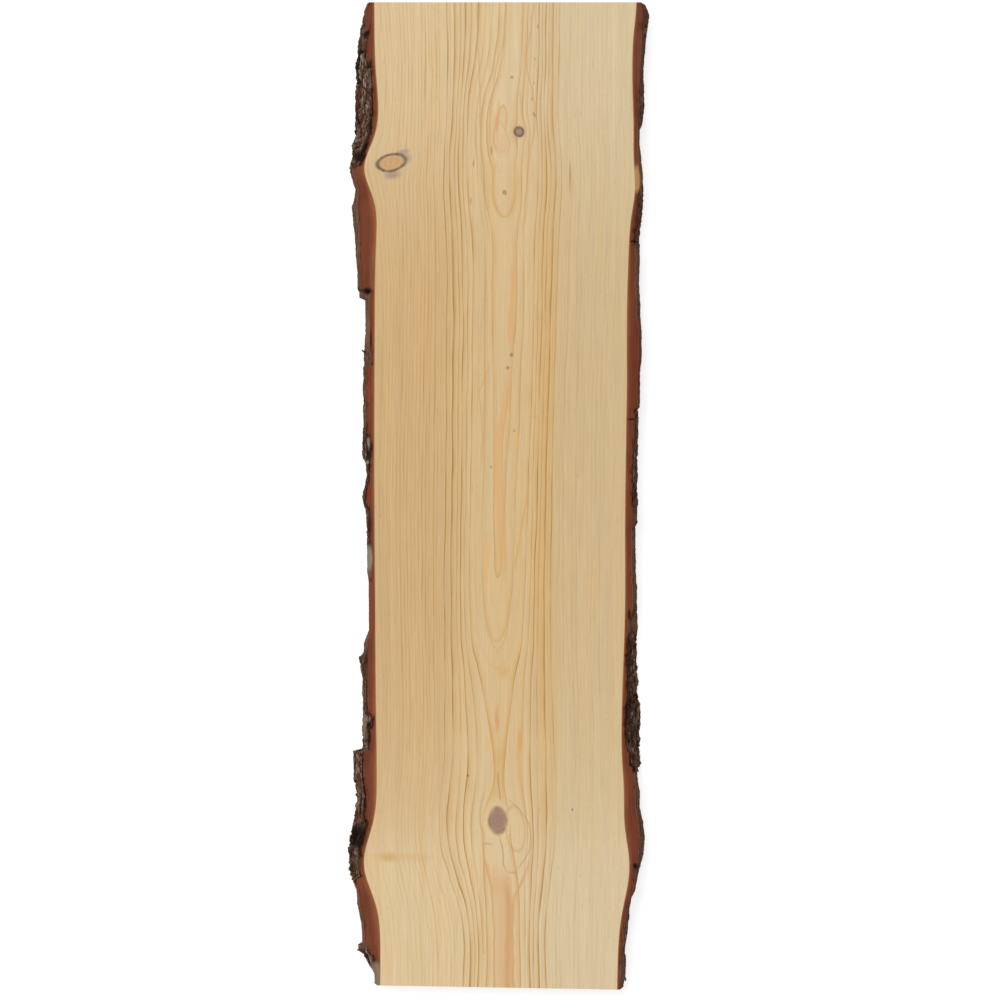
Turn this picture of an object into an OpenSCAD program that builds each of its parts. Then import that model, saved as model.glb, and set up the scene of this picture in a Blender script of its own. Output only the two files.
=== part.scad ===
// Live-edge softwood plank: one board sawn through a log, with the bark left on both long edges.
// X runs across the board, Y along the grain with the head of the board at +Y, and Z points up.
// The board lies on its wider face. The origin is the middle of its outline on that lower face.

/* [Board] */
// Length of the board along its pith line
board_length = 1200; // [400:10:3000]
// Thickness between the two sawn faces
board_thickness = 28; // [18:1:60]
// Depth of the pith, the heart of the log, below the upper face
pith_depth = 40; // [30:1:100]
// Angle by which the foot is sawn out of square, in degrees
foot_skew = 1; // [0:0.1:4]

/* [Wood on the upper face] */
// From the pith line to the left edge, at the head
left_head = 153; // [110:1:260]
// From the pith line to the left edge, at the foot
left_foot = 148; // [110:1:260]
// From the pith line to the right edge, at the head
right_head = 162; // [110:1:260]
// From the pith line to the right edge, at the foot
right_foot = 142.5; // [110:0.5:260]

/* [Upper branch whorl] */
// From the head to the whorl
upper_whorl_at = 202; // [60:1:2900]
// How much lower the branch on the right edge sits
upper_branch_lag = 26; // [0:1:80]
// Swelling of the left edge over its branch
upper_swell_left = 14.5; // [0:0.5:30]
// Swelling of the right edge over its branch
upper_swell_right = 5.5; // [0:0.5:30]
// Reach of the swelling to either side along the edge
upper_swell_spread = 24; // [10:1:80]

/* [Lower branch whorl] */
// From the head to the whorl
lower_whorl_at = 1050; // [60:1:2900]
// Swelling of the left edge over its branch
lower_swell_left = 17.5; // [0:0.5:30]
// Swelling of the right edge over its branch
lower_swell_right = 11.5; // [0:0.5:30]
// Reach of the swelling to either side along the edge
lower_swell_spread = 33; // [10:1:80]

/* [Bark] */
// Usual width of the left bark, across the board
left_bark_width = 11; // [10:0.5:30]
// Usual width of the right bark, across the board
right_bark_width = 12; // [10:0.5:30]
// Length of the broken step from one bark plate to the next
plate_step = 3; // [2:1:9]
// Length over which the bark's corners are worn at both ends of the board
corner_length = 14; // [4:1:60]
// Share of the bark's width that is worn away at the very corner
corner_wear = 0.4; // [0:0.05:0.8]

/* [Hidden] */

// Spacing of the cross-sections along the board, and their levels from the lower face to the upper one
section_gap = 8;
level_count = 4;
// The sections run on past the ends, which the end cuts then trim
overrun = 40;

// Gentle bellies and hollows of each edge between the whorls: [from the head, height, reach]
left_waves = [
    [upper_whorl_at, upper_swell_left, upper_swell_spread],
    [lower_whorl_at, lower_swell_left, lower_swell_spread],
    [135, -4.5, 35],
    [255, -2.5, 35],
    [545, 2, 135],
    [800, 1.5, 130],
    [1095, -2, 30],
    [1165, -2.5, 50]
];
right_waves = [
    [upper_whorl_at + upper_branch_lag, upper_swell_right, upper_swell_spread],
    [lower_whorl_at, lower_swell_right, lower_swell_spread],
    [0, 4, 25],
    [160, 3, 35],
    [370, -1.5, 50],
    [740, 2, 60],
    [965, 4, 30],
    [1095, 2.5, 30]
];

// Bark plates from the head to the foot: [length, added width on the upper face, on the lower face,
// length of the slope to the next plate, which is 0 where the bark is broken off]
left_plates = [
    [20, -1, -2, 18], [25, -2.5, 2.5, 20], [25, -3, 7.5, 20], [40, -4.5, 11, 25], [47, -3, 14, 12],
    [22, -3.5, 10.5, 12], [21, -5, 4, 0], [37, 3, 2.5, 22], [43, 11.5, 14, 25], [35, 10, 10.5, 30],
    [35, 8, 6.5, 0], [10, -4, 5, 0], [58, -3.5, -3, 10], [25, -6, -1.5, 0], [40, 0, -1, 15],
    [47, -1, -1, 10], [28, -6, 0, 6], [32, -3.5, -5.5, 14], [25, 0.5, -1, 12], [40, -4.5, -5, 14],
    [45, -6, -5, 12], [73, -5.5, -7, 16], [23, 0, -0.5, 8], [10, 1.5, 6, 0], [14, 2, 3.5, 10],
    [47, 1, 1.5, 6], [16, -6, 2, 6], [29, -1, 3, 0], [45, 7, 14, 16], [38, 3.5, 10, 12],
    [38, -3, 8.5, 12], [34, -4, 4.5, 5], [24, 5, 2.5, 20], [26, 9, 8.5, 14], [32, 8.5, 7, 0],
    [11, 4, 12.5, 5], [15, -2, 6, 20], [35, -6, -8, 0]
];
right_plates = [
    [35, -3, 1, 20], [30, -0.5, 0, 25], [35, -2, -2, 20], [30, -4, -1, 12], [18, -5, -3.5, 12],
    [30, -7, -8, 14], [22, -6, -6, 10], [45, -6.5, -5, 20], [55, -5.5, -3, 20], [55, -1.5, -1.5, 25],
    [35, 0, 1, 20], [50, 3, 2.5, 20], [54, 1.5, 0.5, 0], [10, -2, -2, 0], [36, -1, -1, 20],
    [70, -3, -1, 20], [27, -0.5, -1, 6], [33, -3, -3, 20], [35, -3.5, -2.5, 20], [40, -2.5, -1, 20],
    [70, -6, 0.5, 16], [34, -5.5, 3, 14], [61, -6, 7, 12], [21, -1, 6.5, 0], [25, 2.5, 1.5, 15],
    [35, 2.5, 4, 20], [37, 5.5, 7, 18], [20, 0.5, 3, 18], [20, -4, -3.5, 14], [20, -3.5, -5, 10],
    [22, -6.5, -7.5, 10], [35, -6, -6, 16], [18, -6.5, -8, 10], [47, -7, -6, 0]
];

function sum(list, i = 0) = i < len(list) ? list[i] + sum(list, i + 1) : 0;
function mix(a, b, t) = a + (b - a) * t;
function on_board(s) = max(0, min(board_length, s));

// Half-width of the wood on the upper face, at the distance s from the head
function edge(head, foot, waves, s) =
    mix(head, foot, on_board(s) / board_length)
    + sum([for (w = waves) w[1] * exp(-pow((on_board(s) - w[0]) / w[2], 2) / 2)]);

// The log is round about its pith, so an edge stands further out below the upper face
function log_reach(half_width, z) =
    sqrt(pow(half_width, 2) + pow(pith_depth, 2) - pow(pith_depth - board_thickness + z, 2));

// Length of the slope from a plate to the next one
function slope(plate) = max(plate_step, plate[3]);

// Widths along a row of plates as [distance, width] pairs, flat on each plate and sloped between plates
function plate_profile(plates, face) = [
    for (i = [0 : len(plates) - 1])
        let (start = sum([for (k = [0 : 1 : i - 1]) plates[k][0]]))
        let (before = i == 0 ? 0 : slope(plates[i - 1]))
        for (at = [start + before / 2, start + plates[i][0] - slope(plates[i]) / 2])
            [at, plates[i][face]]
];

// Share of the bark's width that is left at the distance s from the head
function corner_share(s) =
    let (to_end = min(on_board(s), board_length - on_board(s)))
    1 - corner_wear * pow(max(0, 1 - to_end / corner_length), 2);

// Width of the bark at a height z, with a flank that rounds from the upper face to the lower one
function bark_width(usual, upper, lower, row_length, s, z) =
    let (at = on_board(s) % row_length)
    corner_share(s) * (usual + mix(lookup(at, lower), lookup(at, upper), sin(90 * z / board_thickness)));

left_upper = plate_profile(left_plates, 1);
left_lower = plate_profile(left_plates, 2);
left_row = sum([for (p = left_plates) p[0]]);
right_upper = plate_profile(right_plates, 1);
right_lower = plate_profile(right_plates, 2);
right_row = sum([for (p = right_plates) p[0]]);

// The four walls, from left to right, as distances from the pith line
left_edge = function (s, z) -log_reach(edge(left_head, left_foot, left_waves, s), z);
right_edge = function (s, z) log_reach(edge(right_head, right_foot, right_waves, s), z);
left_skin = function (s, z)
    left_edge(s, z) - bark_width(left_bark_width, left_upper, left_lower, left_row, s, z);
right_skin = function (s, z)
    right_edge(s, z) + bark_width(right_bark_width, right_upper, right_lower, right_row, s, z);

// Ends of all slopes in a row of plates, which starts again where the board is longer than the row
function slope_ends(profile, row_length) = [
    for (k = [0 : floor(board_length / row_length)])
        for (p = profile)
            let (s = k * row_length + p[0])
            if (s > plate_step && s < board_length - plate_step) s
];

// Values in rising order, each once
function sorted(list) =
    len(list) < 2 ? list :
    let (pivot = list[floor(len(list) / 2)])
    concat(sorted([for (v = list) if (v < pivot) v]), pivot, sorted([for (v = list) if (v > pivot) v]));

// A cross-section at both ends of each slope, and evenly spaced ones wherever no such end is near
bends = concat(slope_ends(left_upper, left_row), slope_ends(right_upper, right_row));
section_count = ceil(board_length / section_gap);
even_sections = [
    for (i = [1 : section_count - 1])
        let (s = board_length * i / section_count)
        if (min([for (t = bends) abs(t - s)]) > plate_step / 2) s
];
sections = concat(-overrun, 0, sorted(concat(bends, even_sections)), board_length, board_length + overrun);
levels = [for (k = [0 : level_count - 1]) board_thickness * k / (level_count - 1)];

// Place of the origin: half-way across the widest reach of the bark and along the longest corner
left_reach = min([for (s = sections) for (z = levels) left_skin(s, z)]);
right_reach = max([for (s = sections) for (z = levels) right_skin(s, z)]);
foot_corner = max([for (z = levels) right_skin(board_length, z)]);
middle_x = (left_reach + right_reach) / 2;
middle_s = (board_length + foot_corner * tan(foot_skew)) / 2;

// Two triangles of a panel, always split along the same diagonal, so that shared walls meet all over
function panel(a, b, c, d) = [[a, b, c], [a, c, d]];
function flatten(lists) = [for (list = lists) each list];

// Solid between two walls that run along the board
module between(near, far) {
    points = [
        for (s = sections)
            for (wall = [near, far])
                for (z = levels)
                    [wall(s, z) - middle_x, middle_s - s, z]
    ];
    last = len(sections) - 1;
    top = level_count - 1;
    corner = function (i, wall, k) (2 * i + wall) * level_count + k;
    sides = flatten([
        for (i = [0 : last - 1])
            for (k = [0 : top - 1])
                concat(
                    panel(corner(i, 0, k), corner(i, 0, k + 1), corner(i + 1, 0, k + 1), corner(i + 1, 0, k)),
                    panel(corner(i, 1, k), corner(i + 1, 1, k), corner(i + 1, 1, k + 1), corner(i, 1, k + 1))
                )
    ]);
    faces = flatten([
        for (i = [0 : last - 1])
            concat(
                panel(corner(i, 0, top), corner(i, 1, top), corner(i + 1, 1, top), corner(i + 1, 0, top)),
                panel(corner(i, 0, 0), corner(i + 1, 0, 0), corner(i + 1, 1, 0), corner(i, 1, 0))
            )
    ]);
    ends = flatten([
        for (k = [0 : top - 1])
            concat(
                panel(corner(0, 1, k), corner(0, 1, k + 1), corner(0, 0, k + 1), corner(0, 0, k)),
                panel(corner(last, 0, k), corner(last, 0, k + 1), corner(last, 1, k + 1), corner(last, 1, k))
            )
    ]);
    polyhedron(points, concat(sides, faces, ends));
}

// Block between the two saw cuts that end the board: the head is square, the foot is skewed
module end_cuts() {
    half = right_reach - left_reach;
    foot_drop = tan(foot_skew);
    translate([-middle_x, 0, -board_thickness])
        linear_extrude(3 * board_thickness)
            polygon([
                [-half, middle_s],
                [half, middle_s],
                [half, middle_s - board_length - half * foot_drop],
                [-half, middle_s - board_length + half * foot_drop]
            ]);
}

module sawn_board() {
    color("#d3b78a")
        intersection() {
            between(left_edge, right_edge);
            end_cuts();
        }
}

module left_bark() {
    color("#75432f")
        intersection() {
            between(left_skin, left_edge);
            end_cuts();
        }
}

module right_bark() {
    color("#683a2a")
        intersection() {
            between(right_edge, right_skin);
            end_cuts();
        }
}

sawn_board();
left_bark();
right_bark();
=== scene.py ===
"""Looks of the live-edge softwood plank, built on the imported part.

The sawn board keeps its solid and takes a planed softwood finish. The two bark strips are modelled
again over their solids, with plates, furrows and loose scales.
"""

import logging
import math
import random
from dataclasses import dataclass
from enum import Enum
from typing import Optional, Sequence, Union

import bmesh
import bpy
import numpy as np
from bpy.types import Material, Node, NodeSocket, NodeTree, Object
from mathutils import Matrix, Vector, noise
from mathutils.bvhtree import BVHTree


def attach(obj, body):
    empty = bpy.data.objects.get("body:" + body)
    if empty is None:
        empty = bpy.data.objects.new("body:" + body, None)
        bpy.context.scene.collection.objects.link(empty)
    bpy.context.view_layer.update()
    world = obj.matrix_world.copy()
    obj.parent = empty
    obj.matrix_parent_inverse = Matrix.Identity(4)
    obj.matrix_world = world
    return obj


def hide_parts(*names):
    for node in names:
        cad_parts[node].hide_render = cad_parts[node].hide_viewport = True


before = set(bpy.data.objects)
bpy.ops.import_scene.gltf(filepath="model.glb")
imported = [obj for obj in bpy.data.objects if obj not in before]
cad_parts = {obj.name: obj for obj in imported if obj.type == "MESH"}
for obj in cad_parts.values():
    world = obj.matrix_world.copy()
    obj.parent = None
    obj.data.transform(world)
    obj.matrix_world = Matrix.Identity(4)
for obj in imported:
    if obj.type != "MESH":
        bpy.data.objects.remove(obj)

LOG = logging.getLogger("plank")
MM = 0.001
NOISE_SEED = 11
# The fourth layer carries painted shade for the bark's furrows, seams and crevices, and for the feet of loose
# scales.
LAYERS = ("from_wood", "from_skin", "tone", "crevice_shade", "shag")

# Millimetres, in the part's own frame
HEAD_Y = 601.319
FOOT_Y = -598.647
FOOT_SLOPE = -0.017455
THICKNESS = 28.0
HALF_WIDTH = 155.0
SPAN = 200.0  # longest length that a curve can hold
RAY_START = 300.0  # from the middle, outside every solid
RAY_INSET = 0.05  # keeps a ray off the upper and lower faces
SCALE_SINK = 0.4  # depth to which a loose scale is set in the skin

# Shares of the length
END_GAP = 1e-4  # keeps a section off the sawn ends
LAST_GUESS = 0.999  # keeps the first ray on the plank

Source = Union[Node, NodeSocket, float, str, Sequence[float], None]
Pairs = Sequence[tuple[float, float]]
Triples = tuple[tuple[float, float, float], ...]
Trees = tuple[BVHTree, BVHTree]


class Side(Enum):
    """The two long sides of the plank, as the sign of X."""

    LEFT = -1
    RIGHT = 1


def linear(colour: str) -> tuple[float, float, float, float]:
    """Turn an sRGB hex colour to linear light.

    Args:
        colour: Colour such as "#D0B285".

    Returns:
        Red, green, blue and an alpha of 1.
    """
    parts = [int(colour[i : i + 2], 16) / 255 for i in (1, 3, 5)]
    lit = [p / 12.92 if p <= 0.04045 else ((p + 0.055) / 1.055) ** 2.4 for p in parts]
    return (lit[0], lit[1], lit[2], 1.0)


def ease(low: float, high: float, value: float) -> float:
    """Give a smooth step from 0 at low to 1 at high.

    Args:
        low: Value at which the step starts.
        high: Value at which the step ends.
        value: Value to place on the step.

    Returns:
        The height of the step.
    """
    share = min(max((value - low) / (high - low), 0.0), 1.0)
    return share * share * (3 - 2 * share)


class Graph:
    """Nodes of one material or of the world."""

    def __init__(self, tree: NodeTree) -> None:
        """Empty a node tree.

        Args:
            tree: Tree to fill.
        """
        self.tree = tree
        tree.nodes.clear()

    def add(
        self, kind: str, *inputs: Source, named: Optional[dict[str, Source]] = None, **settings: object
    ) -> Node:
        """Add a node with its settings and links.

        Args:
            kind: Node type without its ShaderNode prefix.
            inputs: Sources for the sockets in use, in order; text is a hex colour, None leaves one as it is.
            named: Sources by socket name.
            settings: Properties of the node; points fills a curve and stops fills a colour ramp.

        Returns:
            The new node.
        """
        node = self.tree.nodes.new("ShaderNode" + kind)
        for key, value in settings.items():
            if key == "points":
                self._fill_curve(node, value)
            elif key == "stops":
                self._fill_ramp(node, value)
            else:
                setattr(node, key, value)
        wanted = list(zip([s for s in node.inputs if s.enabled], inputs))
        wanted += [(node.inputs[key], source) for key, source in (named or {}).items()]
        for socket, source in wanted:
            if isinstance(source, Node):
                source = next(s for s in source.outputs if s.enabled)
            if isinstance(source, NodeSocket):
                self.tree.links.new(source, socket)
            elif source is not None:
                socket.default_value = linear(source) if isinstance(source, str) else source
        return node

    def _fill_curve(self, node: Node, points: Pairs) -> None:
        """Set the points of a curve, which starts with two.

        Args:
            node: Node with the curve.
            points: Pairs of place and height.
        """
        items = node.mapping.curves[0].points
        for index, (place, height) in enumerate(points):
            item = items[index] if index < 2 else items.new(place, height)
            item.location = (place, height)
        node.mapping.update()

    def _fill_ramp(self, node: Node, stops: Sequence[tuple[float, str]]) -> None:
        """Set the stops of a colour ramp, which starts with two.

        Args:
            node: Node with the ramp.
            stops: Pairs of place and hex colour, the first and the last stop before the others.
        """
        items = node.color_ramp.elements
        for index, (place, colour) in enumerate(stops):
            item = items[index] if index < 2 else items.new(place)
            item.position = place
            item.color = linear(colour)

    def math(self, operation: str, *values: Source) -> Node:
        """Add a sum on numbers."""
        return self.add("Math", *values, operation=operation)

    def vector(self, operation: str, *values: Source) -> Node:
        """Add a sum on vectors."""
        return self.add("VectorMath", *values, operation=operation)

    def times(self, vector: Source, factor: Source) -> Node:
        """Add a vector or colour times a number."""
        return self.add("VectorMath", vector, named={"Scale": factor}, operation="SCALE")

    def mix(self, share: Source, under: Source, over: Source, data_type: str = "RGBA") -> Node:
        """Add a mix of two colours, or of two numbers as FLOAT."""
        return self.add("Mix", share, under, over, data_type=data_type)

    def ramp(self, value: Source, *limits: Source) -> Node:
        """Add a straight ramp; limits are its start and end, and its heights there, 0 and 1 if not given."""
        return self.add("MapRange", value, *limits)

    def step(self, value: Source, *limits: Source) -> Node:
        """Add a smooth step, with limits as for a ramp."""
        return self.add("MapRange", value, *limits, interpolation_type="SMOOTHSTEP")

    def square(self, value: Source) -> Node:
        """Add the square of a number."""
        return self.math("MULTIPLY", value, value)

    def bell(self, value: Source) -> Node:
        """Add a bell curve, 1 where the number is 0."""
        return self.math("EXPONENT", self.math("MULTIPLY", self.square(value), -1.0))

    def gap(self, value: Source, other: Source) -> Node:
        """Add the distance between two numbers."""
        return self.math("ABSOLUTE", self.math("SUBTRACT", value, other))

    def product(self, value: Source, *factors: Source) -> Source:
        """Add the product of several numbers.

        Args:
            value: First number.
            factors: The other numbers.

        Returns:
            Node with the product.
        """
        for factor in factors:
            value = self.math("MULTIPLY", value, factor)
        return value

    def curve(self, share: Node, points: Pairs) -> Node:
        """Add a height of 0 to 1 that changes along a line."""
        return self.add("FloatCurve", None, share, points=points)

    def along(self, share: Node, points: Pairs) -> Node:
        """Add a length in millimetres that changes along a line."""
        half = self.curve(share, [(at, 0.5 + size / SPAN / 2) for at, size in points])
        return self.ramp(half, 0.0, 1.0, -SPAN, SPAN)

    def streaks(
        self, place: Node, across: float, lengthwise: float, detail: float, rough: Optional[float] = None
    ) -> Node:
        """Add noise that is drawn out along the plank, with sizes in millimetres."""
        packed = self.vector("MULTIPLY", place, (1 / across, 1 / lengthwise, 1 / across))
        return self.add("TexNoise", packed, 1.0, detail, rough)

    def attribute(self, name: str) -> NodeSocket:
        """Add a number that the mesh carries."""
        return self.add("Attribute", attribute_name=name).outputs["Fac"]

    def surface(
        self, colour: Node, height: Node, bump: tuple[float, float], roughness: float, specular: float
    ) -> None:
        """Close a material with its surface.

        Args:
            colour: Colour of the surface.
            height: Fine relief.
            bump: Strength of the relief and its height in metres.
            roughness: Roughness of the surface.
            specular: Level of its reflection.
        """
        normal = self.add("Bump", named={"Strength": bump[0], "Distance": bump[1], "Height": height})
        named = {"Base Color": colour, "Roughness": roughness, "Specular IOR Level": specular, "Normal": normal}
        self.add("OutputMaterial", self.add("BsdfPrincipled", named=named))


def millimetres(graph: Graph) -> Node:
    """Add the Object coordinates in millimetres."""
    return graph.times(graph.add("TexCoord").outputs["Object"], 1 / MM)


def new_material(name: str) -> tuple[Material, Graph]:
    """Make a material with an empty graph.

    Args:
        name: Name of the material.

    Returns:
        The material and its graph.
    """
    material = bpy.data.materials.new(name)
    material.use_nodes = True
    return material, Graph(material.node_tree)


@dataclass(frozen=True)
class Spot:
    """An ellipse on the upper face, in millimetres from the plank's centre."""

    x: float
    y: float
    half_width: float
    half_length: float
    colour: str
    strength: float = 1.0
    core: float = 0.2
    tilt: float = 0.0
    depth: float = 20.0

    def distance(self, graph: Graph, place: Node, grow: float = 1.0) -> Node:
        """Add the distance from the ellipse's centre, 1 on its outline.

        Args:
            graph: Graph to add to.
            place: Position in millimetres.
            grow: Share by which the ellipse is enlarged.

        Returns:
            Node with the distance.
        """
        reach = (self.half_width * grow, self.half_length * grow, self.depth)
        turn = (0.0, 0.0, math.radians(self.tilt))
        local = graph.add("Mapping", place, (self.x, self.y, THICKNESS), turn, reach, vector_type="TEXTURE")
        return graph.vector("LENGTH", local)

    def paint(self, graph: Graph, place: Node, under: Source) -> Node:
        """Lay the ellipse over a colour, fading to its outline."""
        share = graph.step(self.distance(graph, place), self.core, 1.0, self.strength, 0.0)
        return graph.mix(share, under, self.colour)


@dataclass(frozen=True)
class BarkStainAndShade(Spot):
    """A spot on the bark that runs down its flank; near-black ones are painted shade in cracks and holes."""

    depth: float = 70.0


@dataclass(frozen=True)
class Knot(Spot):
    """A knot: a disc with its own rings and a dark rim, in pale wood, round which the grain bends."""

    rim: str = "#6B5344"
    rim_strength: float = 0.6
    rim_width: float = 0.2
    ring: str = "#8C6A55"
    halo: str = "#E2CA9E"
    halo_strength: float = 0.0
    push: float = 0.6
    spread: float = 2.0
    ring_waves: float = 17.0
    rim_at: float = 0.97

    def bend(self, graph: Graph, place: Node) -> Node:
        """Push the grain aside round the knot.

        Args:
            graph: Graph to add to.
            place: Position in millimetres.

        Returns:
            Node with the moved position.
        """
        share = graph.bell(self.distance(graph, place, self.spread))
        offset = graph.vector("SUBTRACT", place, (self.x, self.y, 0.0))
        across = graph.vector("MULTIPLY", offset, (self.push, 0.0, 0.0))
        return graph.vector("SUBTRACT", place, graph.times(across, share))

    def paint(self, graph: Graph, place: Node, under: Source) -> Node:
        """Lay the knot over a colour.

        Args:
            graph: Graph to add to.
            place: Position in millimetres.
            under: Colour below.

        Returns:
            Node with the colour.
        """
        away = self.distance(graph, place)
        under = graph.mix(graph.step(away, 1.0, 2.1, self.halo_strength, 0.0), under, self.halo)
        wave = graph.math("SINE", graph.math("MULTIPLY", away, self.ring_waves))
        disc = graph.mix(graph.ramp(wave, -1.0, 1.0, 0.0, 0.7), self.colour, self.ring)
        filled = graph.mix(graph.step(away, 0.6, 1.15, self.strength, 0.0), under, disc)
        edge = graph.step(graph.gap(away, self.rim_at), 0.0, self.rim_width, self.rim_strength, 0.0)
        uneven = graph.ramp(graph.add("TexNoise", place, 0.12, 1.0), 0.3, 0.6, 0.7, 1.0)
        return graph.mix(graph.product(edge, uneven), filled, self.rim)


@dataclass(frozen=True)
class Stroke:
    """A line of the figure on the upper face, from the head on, in millimetres from the plank's centre."""

    points: Pairs
    half_width: float
    colour: str
    strength: float = 0.5
    core: float = 0.1
    depth: float = 18.0
    fade: float = 0.15

    def paint(self, graph: Graph, place: Node, under: Source) -> Node:
        """Lay the line over a colour, fading to its sides and ends.

        Args:
            graph: Graph to add to.
            place: Position in millimetres.
            under: Colour below.

        Returns:
            Node with the colour.
        """
        parts = graph.add("SeparateXYZ", place).outputs
        head, foot = self.points[0][1], self.points[-1][1]
        run = graph.ramp(parts["Y"], head, foot)
        middle = graph.along(run, [((head - y) / (head - foot), x) for x, y in self.points])
        away = graph.gap(parts["X"], middle)
        share = graph.product(
            graph.step(away, self.core * self.half_width, self.half_width, self.strength, 0.0),
            graph.step(run, 0.0, self.fade),
            graph.step(run, 1 - self.fade, 1.0, 1.0, 0.0),
            graph.ramp(parts["Z"], THICKNESS - self.depth, THICKNESS),
        )
        return graph.mix(share, under, self.colour)


KNOTS = (
    Knot(
        *(-130.2, 406, 18, 10.4, "#CDA06C", 0.8),
        tilt=13,
        rim="#5C4A40",
        rim_strength=0.95,
        rim_width=0.26,
        ring="#BE8E5E",
        push=0.3,
        spread=1.6,
    ),
    Knot(
        *(25, 444, 5.2, 5.4, "#AA8A72", 0.95),
        rim="#584444",
        rim_strength=0.9,
        rim_width=0.5,
        ring="#8E7060",
        halo="#C3A586",
        halo_strength=0.45,
        push=0.75,
        spread=2.2,
    ),
    Knot(7.6, 370, 2.7, 3, "#A88058", 0.8, rim="#94704E", ring="#A88058", push=0.5, spread=2.6),
    Knot(
        *(-1, -395.5, 10.4, 15, "#9C7B6D", 0.95),
        rim="#7C5C52",
        rim_strength=0.75,
        rim_width=0.4,
        ring="#906F63",
        halo="#E0C698",
        halo_strength=0.55,
        push=0.8,
        spread=2.1,
    ),
    Knot(
        *(20.6, -405, 12, 28, "#D8BD90", 0.0),
        tilt=6,
        rim="#BC9660",
        rim_strength=0.42,
        rim_width=0.16,
        push=0.8,
        spread=1.2,
    ),
)
MARKS = (
    Spot(-129, 391, 15, 7.5, "#9C877B", 0.75, 0.2, 8),
    Spot(-109.5, 411, 7, 10, "#AB9684", 0.7, 0.1),
    Spot(-116, 418.5, 12, 5, "#A08C7E", 0.7, 0.2, 16),
    Spot(16.5, 510, 3, 2.8, "#A57C58", 0.8),
    Spot(25.5, 443, 1.8, 2, "#6A4E48", 0.8),
    Spot(4.5, 429, 9, 15, "#DDB48C", 0.55, 0.4),
    Spot(-2, 454, 5, 18, "#DBA272", 0.65, 0.1),
    Spot(33.5, 533, 6, 20, "#DDAC70", 0.65, 0.1),
    Spot(15.3, 172, 3.4, 3.4, "#9A6A48", 0.85),
    Spot(11.6, 156, 2.6, 3.4, "#9A6A48", 0.85),
    Spot(22, 67, 5, 13, "#DDB274", 0.6, 0.3),
    Spot(30, 22, 7, 6, "#DDB680", 0.4, 0.3),
    Spot(-36.8, -340, 1.7, 2.4, "#6E5644", 0.8),
    Spot(90, -382, 1.7, 2.4, "#6E5644", 0.7),
    Spot(19.3, 79.8, 1.6, 2, "#8A6A4C", 0.7),
    Spot(-8.5, 35, 1.6, 2.4, "#8A6848", 0.7),
    Spot(-134, -439, 26, 9, "#CFA86C", 0.6, 0.1),
    Spot(-133, -440, 14, 7.5, "#C89E62", 0.35, 0.1),
    Spot(-100, -440, 34, 8, "#D0AC74", 0.4, 0.1),
    Spot(-13.3, -424, 10, 2.4, "#B08A60", 0.5, 0.1, -6),
    Spot(17.7, -458.5, 8.5, 2.2, "#B08A60", 0.5, 0.1, -12),
    Spot(6, -213, 11, 12, "#D9A868", 0.7, 0.2),
    Spot(-2, -272, 4, 25, "#D6955E", 0.85, 0.1),
    Spot(-13.9, -303, 5, 14, "#DDB076", 0.5, 0.1),
    Spot(26.5, -298, 5, 26, "#D99E66", 0.7, 0.1),
    Spot(47.5, 572, 1.2, 4.5, "#9C7850", 0.75),
    Spot(44, 532, 1.2, 3, "#9C7850", 0.7),
    Spot(42.5, 503, 1.3, 3, "#9C7850", 0.7),
    Spot(41, 484, 1.3, 4, "#9C7850", 0.7),
    Spot(44, 465, 1.6, 6, "#8C6A48", 0.8, 0.2, 25),
    Spot(-8, 421, 1.4, 9, "#9A7448", 0.7),
    Spot(-31, 405, 1.6, 6, "#9A7850", 0.7),
    Spot(-33, 359, 1.6, 6, "#A8865A", 0.6),
    Spot(87.5, 388, 2, 30, "#B4864A", 0.8, 0.1),
)
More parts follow.
